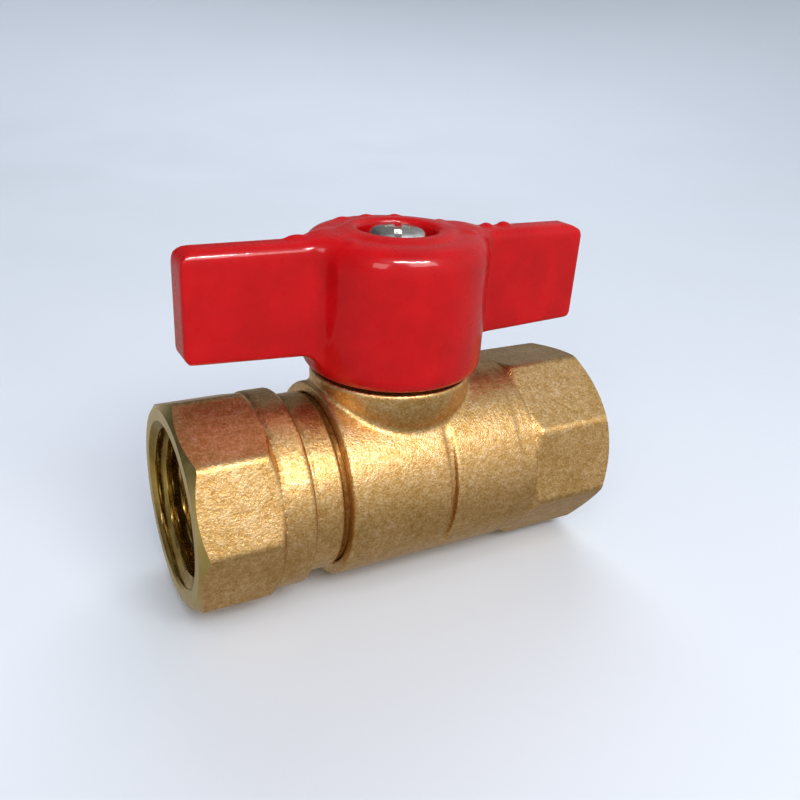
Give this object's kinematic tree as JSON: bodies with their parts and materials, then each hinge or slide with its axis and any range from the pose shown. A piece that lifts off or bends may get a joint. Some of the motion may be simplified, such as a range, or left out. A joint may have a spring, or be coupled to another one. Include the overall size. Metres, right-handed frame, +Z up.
{
  "type": "water shutoff valve",
  "caption": "Quarter-turn shutoff ball valve with two female pipe-thread octagon ends and a T-shaped lever on a centre stem.",
  "frame": {"origin": "centre of the ball, where the flow axis meets the stem axis", "axes": "+X along the flow from the inlet port to the outlet port, +Z up along the stem towards the lever, +Y across the pipe"},
  "size_m": [0.06, 0.0276, 0.047],
  "materials": {
    "forged_brass": "grainy as-forged brass",
    "turned_brass": "bright turned brass",
    "chrome_plate": "polished chrome plate",
    "ptfe": "smooth white PTFE",
    "nitrile": "satin black nitrile",
    "red_enamel": "glossy enamel on a zinc die casting",
    "zinc_plate": "bright zinc plate"
  },
  "bodies": {
    "valve_body": {"body": "forged_brass", "end_cap": "forged_brass", "joint_seal": "ptfe", "inlet_seat": "ptfe", "outlet_seat": "ptfe", "thrust_washer": "ptfe", "lower_packing_ring": "ptfe", "upper_packing_ring": "ptfe", "packing_gland": "turned_brass", "packing_nut": "turned_brass"},
    "lever_assembly": {"lever": "red_enamel", "stem": "turned_brass", "lower_stem_o_ring": "nitrile", "upper_stem_o_ring": "nitrile", "lock_washer": "zinc_plate", "lever_screw": "zinc_plate"},
    "ball_assembly": {"ball": "chrome_plate"}
  },
  "joints": [
    {"name": "lever_turn", "type": "hinge", "parent": "valve_body", "child": "lever_assembly", "pos_m": [0, 0, 0], "axis": [0, 0, 1], "range_deg": [-90, 0]},
    {"name": "ball_turn", "type": "hinge", "parent": "valve_body", "child": "ball_assembly", "pos_m": [0, 0, 0], "axis": [0, 0, 1], "range_deg": [-90, 0]}
  ],
  "couplings": [
    {"joint": "ball_turn", "follows": "lever_turn", "ratio": 1}
  ]
}
